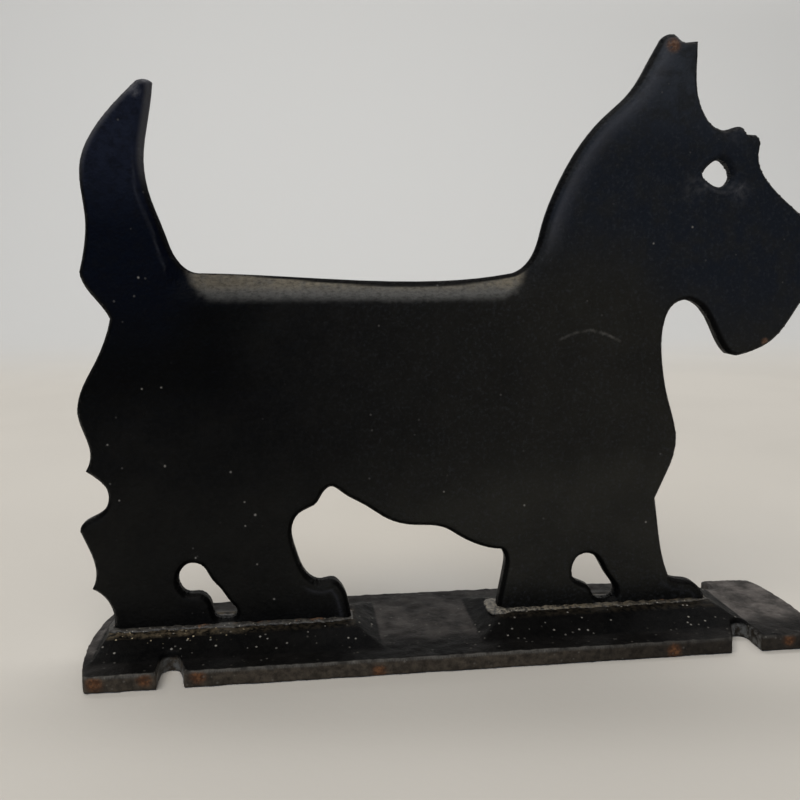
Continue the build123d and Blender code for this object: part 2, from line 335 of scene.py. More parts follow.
def dogSurface(points, outline, soleLevel):
    # half thickness = thinned back or full, less a quarter round along the rim, plus the eye's ring
    a, b = outline
    notSole = (a[:, 1] > soleLevel + 0.02) | (b[:, 1] > soleLevel + 0.02)
    rim, _ = toOutline(points, (a[notSole], b[notSole]))
    fromBack, place = toOutline(points, thinnedRim(outline))
    nearX, nearZ = place.T
    tail = np.interp(nearZ, *dog["tailSlope"])
    neck = np.interp(nearZ, *dog["neckSlope"])
    width = np.where(nearX < -50.0, tail, np.where(nearX > 10.0, neck, nearZ - dog["saddleLine"]))
    edge = np.interp(nearZ, *dog["thinEdge"])
    share = 1 - fromBack / width
    ramp = np.clip(1 - (np.sqrt(share**2 + 0.0016) + share) / 2, 0, 1)
    half = edge + (dog["halfThickness"] - edge) * ramp
    half = half - dog["unevenness"] * (0.5 + 0.5 * wave(points, 9.0, 3))
    middle = (a + b) / 2
    eyeEdge = (np.abs(middle - dog["eye"]) < (4.5, 4.0)).all(1)
    fromEye, _ = toOutline(points, (a[eyeEdge], b[eyeEdge]))
    half = half + dog["eyeRing"] * ridge(fromEye, 1.0, 0.45)
    half = rounded(half, rim, np.minimum(dog["rimRadius"], 0.72 * half))
    return half, rim, fromBack, width, place


def dogDustAndHighlights(points, rim, fromBack, width, place):
    # dust on the thinned back and painted highlight lines along the creases and near the edges, each a product
    # of soft steps
    x, z = points.T
    nearX, nearZ = place.T
    lean = 0.3 * (z - 76.0) - 1.92 * smooth(74.5, 71.0, z)
    ends = smooth(-54.0, -51.8, x + lean) * smooth(13.2, 11.0, x - lean) * smooth(79.5, 77.5, z)
    saddle = (1 - smooth(0.62, 1.08, fromBack / width + 0.03 * wave(points, 2.4, 8))) * ends
    topLine = 0.3 + 0.75 * smooth(-48.0, -14.0, x) - 0.2 * smooth(-4.0, 10.0, x)
    saddle = saddle * smooth(topLine - 0.12, topLine + 0.12, rim)
    onTail = smooth(-52.0, -54.0, nearX) * smooth(77.0, 79.0, nearZ)
    lowTail = ridge(fromBack, width, 0.2) * smooth(101.0, 92.0, nearZ) * onTail
    highTail = smooth(0.8, 0.5, fromBack) * smooth(90.0, 96.0, nearZ) * onTail
    tailBack = smooth(1.4, 0.5, rim) * smooth(90.0, 100.0, z) * smooth(-55.0, -57.0, x)
    nape = smooth(1.1, 1.9, fromBack) * ridge(np.maximum(fromBack, 1.9), 1.9, 1.7)
    nape = nape * smooth(9.0, 12.0, nearX) * smooth(78.0, 86.0, nearZ)
    atToes = ((x > -35.0) & (x < -20.0)) | ((x > 44.0) & (x < 56.0))
    toes = np.where(x > 0, 0.5, 1.0) * ridge(rim, 2.0, 0.35) * atToes
    toes = toes * smooth(13.5, 12.0, z) * smooth(5.0, 7.0, z)
    # painted highlights along the creases of the tail, the nape and the toes
    line = 0.12 * lowTail + 0.2 * highTail + 0.3 * tailBack + 0.2 * nape + 0.14 * toes
    return saddle, np.clip(line, 0, 1)


def dogMarks(points):
    # dust and scratches, and the worn lid under the eye, from the distance to their lines
    lines = [(np.array(run[:-1]), np.array(run[1:])) for run in scratches]
    fromScratch = np.min([toOutline(points, line)[0] for line in lines], 0)
    scratched = smooth(0.32, 0.1, fromScratch) * (0.2 + 0.15 * wave(points, 2.5, 9))
    lidX = np.linspace(49.0, 57.6, 18)
    lid = np.stack([lidX, 92.1 + 0.09 * (lidX - 53.2) ** 2], 1)
    fromLid, _ = toOutline(points, (lid[:-1], lid[1:]))
    dust = np.maximum(spotField(points, dustSpecks), scratched)
    wear = np.maximum(spotField(points, wornSpots), 0.5 * smooth(0.5, 0.1, fromLid))
    return dust, wear


def dogMesh(outline, low, high, soleLevel):
    # flat triangles: rows along the rim, a coarse grid, finer grids at the saddle and eye, and the marks
    turns = np.radians([16, 32, 48, 64, 80, 96])
    rings = list(dog["rimRadius"] * (1 - np.cos(turns))) + [1.62, 2.0, 2.4, 2.8, 3.2]
    corner, far = (low.x / mm, soleLevel), (high.x / mm, high.z / mm)
    coarse = gridOver(corner, far, dog["faceGrid"], 1)
    close = gridOver(corner, far, dog["saddleGrid"], 2)
    atSaddle = np.abs(close[:, 1] - dog["saddleLine"]) < 1.0
    close = close[atSaddle & (close[:, 0] > -56) & (close[:, 0] < 16)]
    aroundEye = gridOver((45.0, 88.5), (61.0, 102.0), dog["eyeGrid"], 4)
    along = np.concatenate([np.array(run) for run in scratches])
    along = np.concatenate([along, (along[1:] + along[:-1]) / 2])
    marks = dustSpecks + rustChips + wornSpots + [(x, z, 0.7) for x, z in along]
    return triangulate(outline, rings, np.concatenate([coarse, close, aroundEye]), spotPoints(marks, 5))


def buildDog():
    # the front and rear faces are the flat triangles moved out by half the thickness, joined by walls
    low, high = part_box("terrier_plate")
    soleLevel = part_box("base_plate")[1].z / mm
    frontBox = (-everywhere, -everywhere, soleLevel), (everywhere, -0.5, everywhere)
    outline = cut(trueRim(outlineOf("terrier_plate", [0, 2], (0, -1, 0), *frontBox)), dog["rimStep"])
    points, faces = dogMesh(outline, low, high, soleLevel)
    half, rim, fromBack, width, place = dogSurface(points, outline, soleLevel)
    saddle, line = dogDustAndHighlights(points, rim, fromBack, width, place)
    dust, wear = dogMarks(points)
    half = relax(half, faces, rim < 0.02, 3)
    count = len(points)
    x, z = points.T
    z = np.where(z < soleLevel + 0.01, soleLevel - dog["footDepth"], z)
    front = np.stack([x, -half, z], 1)
    rear = np.stack([x, half, z], 1)
    rows = 3
    between = [front + (rear - front) * share for share in np.linspace(0, 1, rows + 2)[1:-1]]
    allPoints = np.concatenate([front, rear] + between)
    starts = [0] + [(k + 2) * count for k in range(rows)] + [count]
    triangles = np.concatenate([faces, faces[:, ::-1] + count])
    used, triangles, quads = usedOnly(allPoints, triangles, walls(usedOnce(allEdges(faces)), starts))
    toEye = np.linalg.norm(points - dog["eye"], axis=1)
    number = {
        # rim: distance from the edge, used by the material for painted shade along the edges, held at 1 round
        # the eye
        "rim": np.clip(rim / 2.0 + smooth(7.0, 6.0, toEye), 0, 1),
        "saddle": saddle,
        "line": line,
        "smear": spotField(points, smears),
        "dust": dust,
        "rust": spotField(points, rustChips),
        "wear": wear,
    }
    attributes = {name: np.tile(values, rows + 2)[used] for name, values in number.items()}
    piece = makePiece("terrierCasting", allPoints[used], triangles, quads, attributes)
    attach(piece, "root")
    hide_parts("terrier_plate")
    print("dog", len(piece.data.polygons), "faces")
    return piece


base = {
    "thickness": 3.4,
    "topRadius": 0.55,       # roundness of the upper edge
    "footRadius": 0.3,       # roundness of the lower edge
    "flank": 6.5,            # run of the bosses' long flanks
    "ledge": 3.0,            # flat on each boss in front of and behind the dog
    "endLedge": 0.8,
    "flankBlend": 0.05,      # softness of the bosses' corners
    "raggedness": 0.13,      # how far the worn side walls wander
    "rimStep": 0.5,          # longest step along the outline
    "topGrid": 0.62,
    "underGrid": 2.0,
    "wallRows": 7,
    # radius and height of each ring of a screw's recess, which ends above the screw's head
    "recess": [(2.45, 0.0), (2.45, 0.3), (1.35, 1.4), (0.02, 1.45)],
    "recessSides": 48,
}
# rust on the long side walls: x, z, radius
frontRust = [
    (-70.9, 1.9, 2.1), (-62.0, 2.1, 1.8), (-52.4, 2.2, 2.0),
    (-18.5, 0.9, 1.9), (40.9, 1.4, 2.0), (65.6, 2.2, 1.7),
]
rearRust = [(-46.0, 1.2, 2.2), (9.0, 1.5, 1.8), (37.0, 0.9, 2.4), (66.0, 1.6, 1.8)]
# heel, toe, and the run of the boss's flanks behind the heel and in front of the toe
feet = {"hind": (-70.3, -22.8, 1.8, 5.0), "fore": (8.2, 54.7, 5.0, 5.0)}


def baseTop(points):
    # plate level plus each boss, at full height on its flat top and falling along its farthest flank
    x, y = points.T
    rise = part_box("base_plate")[1].z / mm - base["thickness"]
    height = np.zeros(len(points))
    blend = base["flankBlend"]
    for heel, toe, heelRun, toeRun in feet.values():
        across = (np.abs(y) - dog["halfThickness"] - base["ledge"]) / base["flank"]
        behind = (heel - base["endLedge"] - x) / heelRun
        ahead = (x - toe - base["endLedge"]) / toeRun
        outside = np.log(np.exp(across / blend) + np.exp(behind / blend) + np.exp(ahead / blend) + 1) * blend
        height = np.maximum(height, 1 - np.clip(outside, 0, 1))
    height = height - 0.06 * np.sin(np.pi * height) ** 2
    worn = 0.07 * wave(points, 5.0, 11) + 0.05 * wave(points, 1.9, 12)
    return base["thickness"] + rise * height + (worn - 0.09) * smooth(0.0, 0.1, 1.02 - height), height


def recessWalls(centres):
    # a short straight wall, a cone and a cap, as rings of points round each screw
    sides = base["recessSides"]
    angle = np.linspace(0, 2 * np.pi, sides + 1)[:-1]
    circle = np.stack([np.cos(angle), np.sin(angle)], 1)
    steps = base["recess"]
    points = [
        np.column_stack([circle * radius + centre, np.full(sides, height)])
        for centre in centres for radius, height in steps
    ]
    here = np.arange(sides)
    ring = np.stack([here, (here + 1) % sides], 1)
    starts = [[(n * len(steps) + k) * sides for k in range(len(steps))] for n in range(len(centres))]
    quads = [walls(ring, levels) for levels in starts]
    return np.concatenate(points), np.concatenate(quads)


def raggedSides(points, outer):
    # the side walls shifted in and out by waves, less with distance from the outline, inside the same box
    _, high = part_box("base_plate")
    fromEdge, _ = toOutline(points[:, :2], outer)
    shift = [wave(points, 4.0, seed) + 0.7 * wave(points, 1.6, seed + 2) for seed in (21, 22)]
    near = smooth(2.0, 0.2, fromEdge) * base["raggedness"]
    points[:, :2] += np.stack(shift, 1) * near[:, None] * 0.6
    size = np.array([high.x / mm, high.y / mm])
    points[:, :2] *= (size - 0.1) / size
    points[:, :2] = np.clip(points[:, :2], -size, size)
    return points, fromEdge


def baseMarks(points, fromEdge):
    # where the side walls, the painted highlight along the front lip, the rust and the notches' walls are,
    # each 0 to 1
    x, y, z = points.T
    side = smooth(0.35, 0.05, fromEdge) * smooth(3.1, 2.7, z)
    lipHighlight = smooth(0.55, 0.2, fromEdge) * smooth(2.7, 3.0, z) * (y < -15.0)
    wall = points[:, [0, 2]]
    rust = np.where(y < -13.0, spotField(wall, frontRust), np.where(y > 13.0, spotField(wall, rearRust), 0))
    atSlots = np.abs(np.abs(x) - 58.5) < 4.2
    notch = side * atSlots * (np.abs(y) < 15.4) * (np.abs(y) > 7.5)
    return {"side": side, "boss": baseTop(points[:, :2])[1], "lipHighlight": lipHighlight, "rust": rust * side, "notch": notch}


def buildBase():
    # a top that rises over the bosses, rounded edges, side walls, an underside and two screw recesses
    low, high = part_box("base_plate")
    a, b = outlineOf("base_plate", [0, 1], (0, 0, -1))
    screws = [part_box(f"{foot}_foot_screw") for foot in feet]
    centres = np.array([((s[0].x + s[1].x) / 2 / mm, 0.0) for s in screws])
    isHole = (np.linalg.norm(((a + b) / 2)[:, None] - centres, axis=2) < 4.0).any(1)
    outer = cut((a[~isHole], b[~isHole]), base["rimStep"])
    holes = cut((a[isHole], b[isHole]), base["rimStep"])
    corner, far = (low.x / mm, low.y / mm), (high.x / mm, high.y / mm)
    turns = np.radians([20, 40, 60, 80, 100])
    rings = list(base["topRadius"] * (1 - np.cos(turns))) + [1.0, 1.6]
    points, faces = triangulate(outer, rings, gridOver(corner, far, base["topGrid"], 6))
    top = rounded(baseTop(points)[0], toOutline(points, outer)[0], base["topRadius"])
    count, rows, footRadius = len(points), base["wallRows"], base["footRadius"]
    levels = [top] + [top + (footRadius - top) * share for share in np.linspace(0, 1, rows + 1)[1:]]
    allPoints = np.concatenate([np.column_stack([points, level]) for level in levels])
    quads = walls(usedOnce(allEdges(faces)), [k * count for k in range(rows + 1)])
    # the underside
    both = (np.concatenate([outer[0], holes[0]]), np.concatenate([outer[1], holes[1]]))
    under, underFaces = triangulate(both, [0.04, 0.15, 0.3, 0.8], gridOver(corner, far, base["underGrid"], 7))
    underZ = -rounded(0.0, toOutline(under, outer)[0], footRadius)
    triangles = np.concatenate([faces, underFaces[:, ::-1] + len(allPoints)])
    allPoints = np.concatenate([allPoints, np.column_stack([under, underZ])])
    recess, recessQuads = recessWalls(centres)
    quads = np.concatenate([quads, recessQuads + len(allPoints)])
    allPoints = np.concatenate([allPoints, recess])
    used, triangles, quads = usedOnly(allPoints, triangles, quads)
    placed, fromEdge = raggedSides(allPoints[used], outer)
    number = baseMarks(placed, fromEdge)
    piece = makePiece("baseCasting", placed, triangles, quads, number, merge=0.004)
    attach(piece, "root")
    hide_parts("base_plate")
    print("base", len(piece.data.polygons), "faces")
    return piece


putty = {
    "width": 1.15,
    "height": 0.42,
    "lump": 0.32,            # share by which both wander
    "heelSwell": {"hind": 0.0, "fore": 1.1},    # the extra width behind each heel
    "step": 0.28,            # along the run
    "cornerSoftness": 0.7,
    "tuckedIn": 0.4,         # runs this far under the foot
    "sunk": 0.3,             # and this far down into the boss
    "grain": 0.05,
}


def buildPutty(foot, seed):
    # a quarter-round carried round the foot, its width and height wandering
    heel, toe = feet[foot][:2]
    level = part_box("base_plate")[1].z / mm
    side = dog["halfThickness"]
    length = toe - heel
    around = 2 * (length + 2 * side)
    count = int(around / putty["step"])
    s = np.arange(count) / count * around
    corners = np.array([0, length, length + 2 * side, 2 * length + 2 * side, around])
    x = np.interp(s, corners, [heel, toe, toe, heel, heel])
    y = np.interp(s, corners, [-side, -side, side, side, -side])
    soft = putty["cornerSoftness"]
    fromMiddle = x - (heel + toe) / 2
    outX = smooth(length / 2 - soft, length / 2, np.abs(fromMiddle)) * np.sign(fromMiddle)
    outY = smooth(side - soft, side, np.abs(y)) * np.sign(y)
    outX, outY = outX / np.hypot(outX, outY), outY / np.hypot(outX, outY)
    turn = 2 * np.pi * s / around
    path = np.stack([np.cos(turn), np.sin(turn)], 1) * around / 6.28
    lumps = wave(path, 6.0, seed) * 0.6 + wave(path, 1.7, seed + 1) * 0.6
    width = putty["width"] * (1 + putty["lump"] * lumps)
    height = putty["height"] * (1 + putty["lump"] * wave(path, 2.4, seed + 2) + 0.5 * putty["lump"] * lumps)
    swell = smooth(heel + 3.0, heel, x)
    thin = 1 - 0.75 * smooth(toe - 4.0, toe, x)
    width = width * thin + putty["heelSwell"][foot] * swell
    height = height * thin + 0.12 * swell
    # the section: in under the foot, over the quarter round, down and back in
    quarter = np.linspace(0, np.pi / 2, 7)
    across = np.concatenate([[-putty["tuckedIn"]], np.sin(quarter), [1.0, -putty["tuckedIn"]]])
    upward = np.concatenate([[1.0], np.cos(quarter), [0.0, 0.0]])
    below = np.concatenate([np.zeros(8), [putty["sunk"]] * 2])
    reach = np.where(across < 0, across, across * width[:, None])
    px = x[:, None] + outX[:, None] * reach
    py = y[:, None] + outY[:, None] * reach
    grain = putty["grain"] * wave(np.stack([px.ravel(), py.ravel()], 1), 0.9, seed + 3).reshape(px.shape)
    pz = level - 0.04 + height[:, None] * upward - below + grain * (upward > 0.05)
    rows, columns = px.shape
    points = np.stack([px.ravel(), py.ravel(), pz.ravel()], 1)
    i, j = np.meshgrid(np.arange(rows), np.arange(columns), indexing="ij")
    nextRow, nextColumn = (i + 1) % rows, (j + 1) % columns
    quads = np.stack([
        i * columns + j, i * columns + nextColumn, nextRow * columns + nextColumn, nextRow * columns + j,
    ], 2).reshape(-1, 4)
    piece = makePiece(f"{foot}Putty", points, quads)
    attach(piece, "root")
    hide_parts(f"{foot}_seam_bead")
    print(foot, "putty", len(piece.data.polygons), "faces")
    return piece


class Finish:
    # a node material with short helpers; patterns read Object coordinates in millimetres
    def __init__(self, name):
        self.material = bpy.data.materials.new(name)
        self.material.use_nodes = True
        self.nodes = self.material.node_tree.nodes
        self.links = self.material.node_tree.links
        self.shader = self.nodes["Principled BSDF"]
        texture = self.nodes.new("ShaderNodeTexCoord")
        mapping = self.nodes.new("ShaderNodeMapping")
        mapping.inputs["Scale"].default_value = (1000, 1000, 1000)
        self.links.new(texture.outputs["Object"], mapping.inputs["Vector"])
        self.place = mapping.outputs["Vector"]

    def put(self, socket, value):
        if isinstance(value, bpy.types.NodeSocket):
            self.links.new(value, socket)
        else:
            socket.default_value = value

    def noise(self, scale, detail=3.0, roughness=0.55, warp=0.0, stretch=None):
        node = self.nodes.new("ShaderNodeTexNoise")
        node.inputs["Scale"].default_value = scale
        node.inputs["Detail"].default_value = detail
        node.inputs["Roughness"].default_value = roughness
        node.inputs["Distortion"].default_value = warp
        place = self.place
        if stretch:
            longer = self.nodes.new("ShaderNodeMapping")
            longer.inputs["Scale"].default_value = stretch
            self.links.new(self.place, longer.inputs["Vector"])
            place = longer.outputs["Vector"]
        self.links.new(place, node.inputs["Vector"])
        return node.outputs["Fac"]

    def cells(self, scale):
        node = self.nodes.new("ShaderNodeTexVoronoi")
        node.inputs["Scale"].default_value = scale
        self.links.new(self.place, node.inputs["Vector"])
        return node.outputs["Distance"]

    def number(self, name):
        node = self.nodes.new("ShaderNodeAttribute")
        node.attribute_name = name
        return node.outputs["Fac"]

    def axis(self, which):
        node = self.nodes.new("ShaderNodeSeparateXYZ")
        self.links.new(self.place, node.inputs[0])
        return node.outputs[which]

    def math(self, kind, a, b=0.0, clamp=False):
        node = self.nodes.new("ShaderNodeMath")
        node.operation = kind
        node.use_clamp = clamp
        self.put(node.inputs[0], a)
        self.put(node.inputs[1], b)
        return node.outputs[0]

    def times(self, a, b):
        return self.math("MULTIPLY", a, b)

    def ramp(self, value, low, high, bottom=0.0, top=1.0):
        node = self.nodes.new("ShaderNodeMapRange")
        node.interpolation_type = "SMOOTHSTEP"
        self.put(node.inputs["Value"], value)
        for socket, number in (("From Min", low), ("From Max", high), ("To Min", bottom), ("To Max", top)):
            node.inputs[socket].default_value = number
        return node.outputs[0]

    def mix(self, share, a, b):
        node = self.nodes.new("ShaderNodeMix")
        node.data_type = "RGBA"
        self.put(node.inputs["Factor"], share)
        for socket, value in ((node.inputs[6], a), (node.inputs[7], b)):
            if isinstance(value, bpy.types.NodeSocket):
                self.links.new(value, socket)
            else:
                socket.default_value = (*value, 1.0)
        return node.outputs[2]

    def bump(self, height, distance, before=None):
        node = self.nodes.new("ShaderNodeBump")
        node.inputs["Distance"].default_value = distance * mm
        self.links.new(height, node.inputs["Height"])
        if before:
            self.links.new(before, node.inputs["Normal"])
        return node.outputs["Normal"]

    def done(self, colour, roughness, normal, metallic=0.0, specular=0.5):
        self.shader.inputs["Specular IOR Level"].default_value = specular
        self.put(self.shader.inputs["Base Color"], colour)
        self.put(self.shader.inputs["Roughness"], roughness)
        self.put(self.shader.inputs["Metallic"], metallic)
        self.links.new(normal, self.shader.inputs["Normal"])
        return self.material


enamel = {
    "black": (0.0016, 0.0017, 0.0020),
    "faded": (0.0040, 0.0038, 0.0036),
    "grain": (0.0075, 0.0072, 0.0066),
    "roughness": (0.34, 0.5),
}


def enamelCommon(f, waviness, pebble):
    # the enamel's colour, roughness and grain, before marks; the two numbers are bump heights in mm
    colour = f.mix(f.ramp(f.noise(0.12, 4.0, 0.6), 0.35, 0.7), enamel["black"], enamel["faded"])
    fine = f.ramp(f.noise(0.9, 4.0, 0.7), 0.35, 0.75)
    colour = f.mix(f.times(fine, 0.5), colour, enamel["grain"])
    rough = f.ramp(f.noise(0.35, 4.0, 0.6), 0.3, 0.75, *enamel["roughness"])
    normal = f.bump(f.noise(0.22, 2.0, 0.45), waviness)
    normal = f.bump(f.noise(1.9, 3.0, 0.5), pebble, normal)
    return colour, rough, normal


dogPaint = {
    # dusty film with painted warm light, brighter towards the chest
    "dustAndWarmLight": (0.0235, 0.0222, 0.0180),
    # painted shade on the hind flank
    "flankShade": (0.0004, 0.0004, 0.0005),
    # tail and head colours: painted bluish reflection and painted mottled highlights
    "tailLow": (0.0006, 0.0016, 0.0055),
    "tailHigh": (0.0092, 0.0116, 0.0220),
    "tailMottle": (0.0015, 0.0018, 0.0035),
    "headLow": (0.0092, 0.0117, 0.0172),
    "headHigh": (0.030, 0.034, 0.042),
    "headMottle": (0.0142, 0.0148, 0.0152),
    "grain": (0.044, 0.047, 0.052),
    # painted shade along the edges
    "rim": (0.0012, 0.0012, 0.0013),
    "smear": (0.06, 0.06, 0.064),
    "saddleGrey": (0.125, 0.121, 0.112),
    "saddleBrown": (0.205, 0.178, 0.134),
    # painted highlight lines along the creases
    "line": (0.13, 0.13, 0.145),
    "fineDust": (0.16, 0.15, 0.14),
    "dust": (0.3, 0.28, 0.25),
    "worn": (0.17, 0.165, 0.17),
    "rust": ((0.085, 0.042, 0.024), (0.17, 0.10, 0.066)),
    "gloss": 0.045,
}


def dogSkyReflection(f, x, z):
    # painted bluish reflection of the cool window on the tail and the head, with painted mottled highlights,
    # and the share of it, which grows with height
    tail = f.mix(f.ramp(z, 82.0, 100.0), dogPaint["tailLow"], dogPaint["tailHigh"])
    tail = f.mix(f.ramp(f.noise(0.7, 4.0, 0.7), 0.4, 0.7, 0.0, 0.6), tail, dogPaint["tailMottle"])
    head = f.mix(f.ramp(z, 98.0, 118.0), dogPaint["headLow"], dogPaint["headHigh"])
    head = f.mix(f.ramp(f.noise(0.25, 5.0, 0.7), 0.42, 0.65, 0.0, 0.7), head, dogPaint["headMottle"])
    reach = f.math("ADD", z, f.ramp(x, 28.0, 56.0, 0.0, 16.0))
    reach = f.math("ADD", reach, f.ramp(x, -44.0, -60.0, 0.0, 14.0))
    return f.mix(f.ramp(x, -10.0, 20.0), tail, head), f.ramp(reach, 70.0, 92.0, 0.0, 0.92)


def saddleDust(f, x, z, saddle):
    # the dust on the thinned back and its share, streaky and browner towards the top
    streak = f.noise(2.2, 5.0, 0.7, 0.0, (0.5, 1.0, 1.0))
    share = f.times(saddle, f.ramp(streak, 0.25, 0.62, 0.45, 1.0))
    share = f.times(share, f.ramp(f.math("ADD", x, f.times(z, -3.0)), -275.0, -250.0, 0.7, 1.0))
    brown = f.times(f.ramp(f.noise(0.5, 4.0, 0.6), 0.3, 0.6, 0.3, 1.0), f.ramp(z, 72.0, 74.5))
    return f.mix(brown, dogPaint["saddleGrey"], dogPaint["saddleBrown"]), f.times(share, 0.95)


def dogFinish():
    # black enamel under a dusty film with painted warm light, painted shade on the hind flank, painted bluish
    # reflection, grain, painted shade along the edges, dust, painted highlight lines and rust, each laid over
    # the last by its share
    f = Finish("dogEnamel")
    colour, rough, normal = enamelCommon(f, 0.35, 0.15)
    x, z = f.axis(0), f.axis(2)
    # a dusty film mixed with painted warm light, thicker towards the chest and the legs, and thin again at the
    # feet as painted shade from the dark base
    low = f.times(f.ramp(z, 45.0, 22.0, 0.0, 0.6), f.ramp(x, -45.0, 10.0, 0.4, 1.0))
    dustAndWarmLight = f.math("ADD", f.ramp(x, -50.0, 50.0, 0.05, 0.75), low, True)
    dustAndWarmLight = f.times(dustAndWarmLight, f.ramp(z, 6.0, 14.0, 0.12, 1.0))
    dustAndWarmLight = f.times(dustAndWarmLight, f.ramp(f.noise(0.08, 4.0, 0.6), 0.3, 0.7, 0.7, 1.0))
    colour = f.mix(dustAndWarmLight, colour, dogPaint["dustAndWarmLight"])
    # painted shade: the hind flank darkened nearly to black
    flankShadeShare = f.times(f.ramp(x, -36.0, -50.0, 0.0, 0.85), f.ramp(z, 44.0, 58.0))
    colour = f.mix(flankShadeShare, colour, dogPaint["flankShade"])
    # painted bluish reflection on the tail and the head
    skyReflection, skyReflectionShare = dogSkyReflection(f, x, z)
    colour = f.mix(skyReflectionShare, colour, skyReflection)
    grain = f.ramp(f.noise(1.4, 4.0, 0.75), 0.48, 0.76, 0.0, 0.38)
    colour = f.mix(f.times(grain, f.ramp(x, -52.0, 10.0, 0.1, 1.0)), colour, dogPaint["grain"])
    # painted shade: darker along the edges, though not round the eye
    colour = f.mix(f.ramp(f.number("rim"), 0.5, 0.25, 0.0, 0.85), colour, dogPaint["rim"])
    smear = f.times(f.number("smear"), f.ramp(f.noise(0.5, 4.0, 0.6, 0.5), 0.35, 0.75))
    colour = f.mix(f.times(smear, 0.5), colour, dogPaint["smear"])
    saddle = f.number("saddle")
    tint, dusty = saddleDust(f, x, z, saddle)
    colour = f.mix(dusty, colour, tint)
    # painted highlight lines along the creases
    colour = f.mix(f.number("line"), colour, dogPaint["line"])
    fine = f.times(f.ramp(f.cells(0.30), 0.085, 0.04), f.ramp(f.noise(0.1, 3.0, 0.6), 0.48, 0.6))
    colour = f.mix(f.times(fine, 0.35), colour, dogPaint["fineDust"])
    colour = f.mix(f.times(f.number("dust"), 0.6), colour, dogPaint["dust"])
    worn = f.times(f.number("wear"), f.ramp(f.noise(1.6, 4.0, 0.7), 0.35, 0.7, 0.1, 0.4))
    colour = f.mix(worn, colour, dogPaint["worn"])
    rusty = f.times(f.number("rust"), f.ramp(f.noise(1.1, 5.0, 0.7), 0.28, 0.5))
    rustTint = f.mix(f.ramp(f.noise(1.7, 3.0, 0.6), 0.4, 0.65), *dogPaint["rust"])
    colour = f.mix(f.times(rusty, 0.9), colour, rustTint)
    rough = f.math("MAXIMUM", rough, f.times(rusty, 0.85))
    rough = f.math("MAXIMUM", rough, f.times(saddle, 0.7))
    normal = f.bump(f.times(f.noise(2.4, 4.0, 0.7), saddle), 0.12, normal)
    return f.done(colour, rough, normal, specular=dogPaint["gloss"])


basePaint = {
    # scuffs with painted pale reflection
    "scuffAndReflection": (0.125, 0.112, 0.104),
    "ledge": (0.10, 0.078, 0.050),
    "side": (0.074, 0.060, 0.045),
    "notch": (0.12, 0.118, 0.112),
    # painted highlight along the front top edge
    "lipHighlight": (0.13, 0.122, 0.108),
    "rust": ((0.066, 0.032, 0.018), (0.15, 0.070, 0.034)),
    "dust": (0.36, 0.34, 0.30),
    "gold": (0.55, 0.46, 0.30),
    "gloss": 0.03,
}


def baseFinish():
    # the same enamel, scuffed on the flats with painted reflection and shade, browned on the ledge, greyed on
    # the side walls, a painted highlight on the front lip, with rust
    f = Finish("baseEnamel")
    colour, rough, normal = enamelCommon(f, 0.14, 0.07)
    x = f.axis(0)
    boss = f.number("boss")
    # the flat parts are scuffed and carry a painted pale reflection, most of all at the two ends and behind
    # the dog; painted shade darkens the strip in front of the dog
    atEnds = f.math("MAXIMUM", f.ramp(x, 30.0, 62.0, 0.35, 1.0), f.ramp(x, -60.0, -70.0, 0.0, 0.9))
    scuffAndReflectionShare = f.times(f.ramp(f.noise(0.22, 5.0, 0.62), 0.34, 0.7, 0.25, 1.0), atEnds)
    # painted shade: darker on the strip in front of the dog
    scuffAndReflectionShare = f.times(scuffAndReflectionShare, f.ramp(f.axis(1), -11.0, -4.0, 0.12, 1.0))
    colour = f.mix(f.times(scuffAndReflectionShare, f.ramp(boss, 0.12, 0.0)), colour, basePaint["scuffAndReflection"])
    ledge = f.times(f.ramp(boss, 0.86, 1.0), f.ramp(f.noise(0.9, 5.0, 0.7), 0.35, 0.65))
    ledge = f.times(ledge, f.ramp(x, -30.0, -60.0, 0.16, 0.9))
    colour = f.mix(ledge, colour, basePaint["ledge"])
    greyed = f.times(f.number("side"), f.ramp(f.noise(0.8, 5.0, 0.65), 0.3, 0.7, 0.35, 1.0))
    greyed = f.times(greyed, f.ramp(x, 0.0, 50.0, 1.0, 0.4))
    colour = f.mix(greyed, colour, basePaint["side"])
    notch = f.times(f.number("notch"), f.ramp(f.noise(0.7, 4.0, 0.65), 0.38, 0.62))
    colour = f.mix(notch, colour, basePaint["notch"])
    # painted highlight along the front top edge, weaker towards +x
    lipHighlight = f.times(f.number("lipHighlight"), f.ramp(f.noise(0.6, 4.0, 0.6), 0.3, 0.6, 0.2, 0.8))
    colour = f.mix(f.times(lipHighlight, f.ramp(x, 10.0, 50.0, 1.0, 0.45)), colour, basePaint["lipHighlight"])
    rusty = f.times(f.number("rust"), f.ramp(f.noise(1.0, 5.0, 0.7), 0.24, 0.5))
    rustTint = f.mix(f.ramp(f.noise(1.3, 3.0, 0.6), 0.4, 0.65), *basePaint["rust"])
    colour = f.mix(rusty, colour, rustTint)
    # dust on the bosses, and paler grit on the ledge at the hind heel
    dust = f.times(f.ramp(f.cells(0.62), 0.2, 0.07), f.ramp(f.noise(0.28, 2.0, 0.5), 0.4, 0.58))
    colour = f.mix(f.times(dust, f.ramp(boss, 0.02, 0.3, 0.15, 0.7)), colour, basePaint["dust"])
    gold = f.times(f.ramp(f.cells(0.95), 0.22, 0.1), f.ramp(f.noise(0.5, 3.0, 0.6), 0.45, 0.6))
    gold = f.times(gold, f.times(f.ramp(x, -38.0, -58.0), f.ramp(boss, 0.55, 0.95)))
    colour = f.mix(gold, colour, basePaint["gold"])
    rough = f.math("MAXIMUM", rough, f.times(rusty, 0.85))
    rough = f.math("MAXIMUM", rough, f.times(ledge, 0.7))
    normal = f.bump(f.noise(3.5, 4.0, 0.7), 0.05, normal)
    return f.done(colour, rough, normal, specular=basePaint["gloss"])


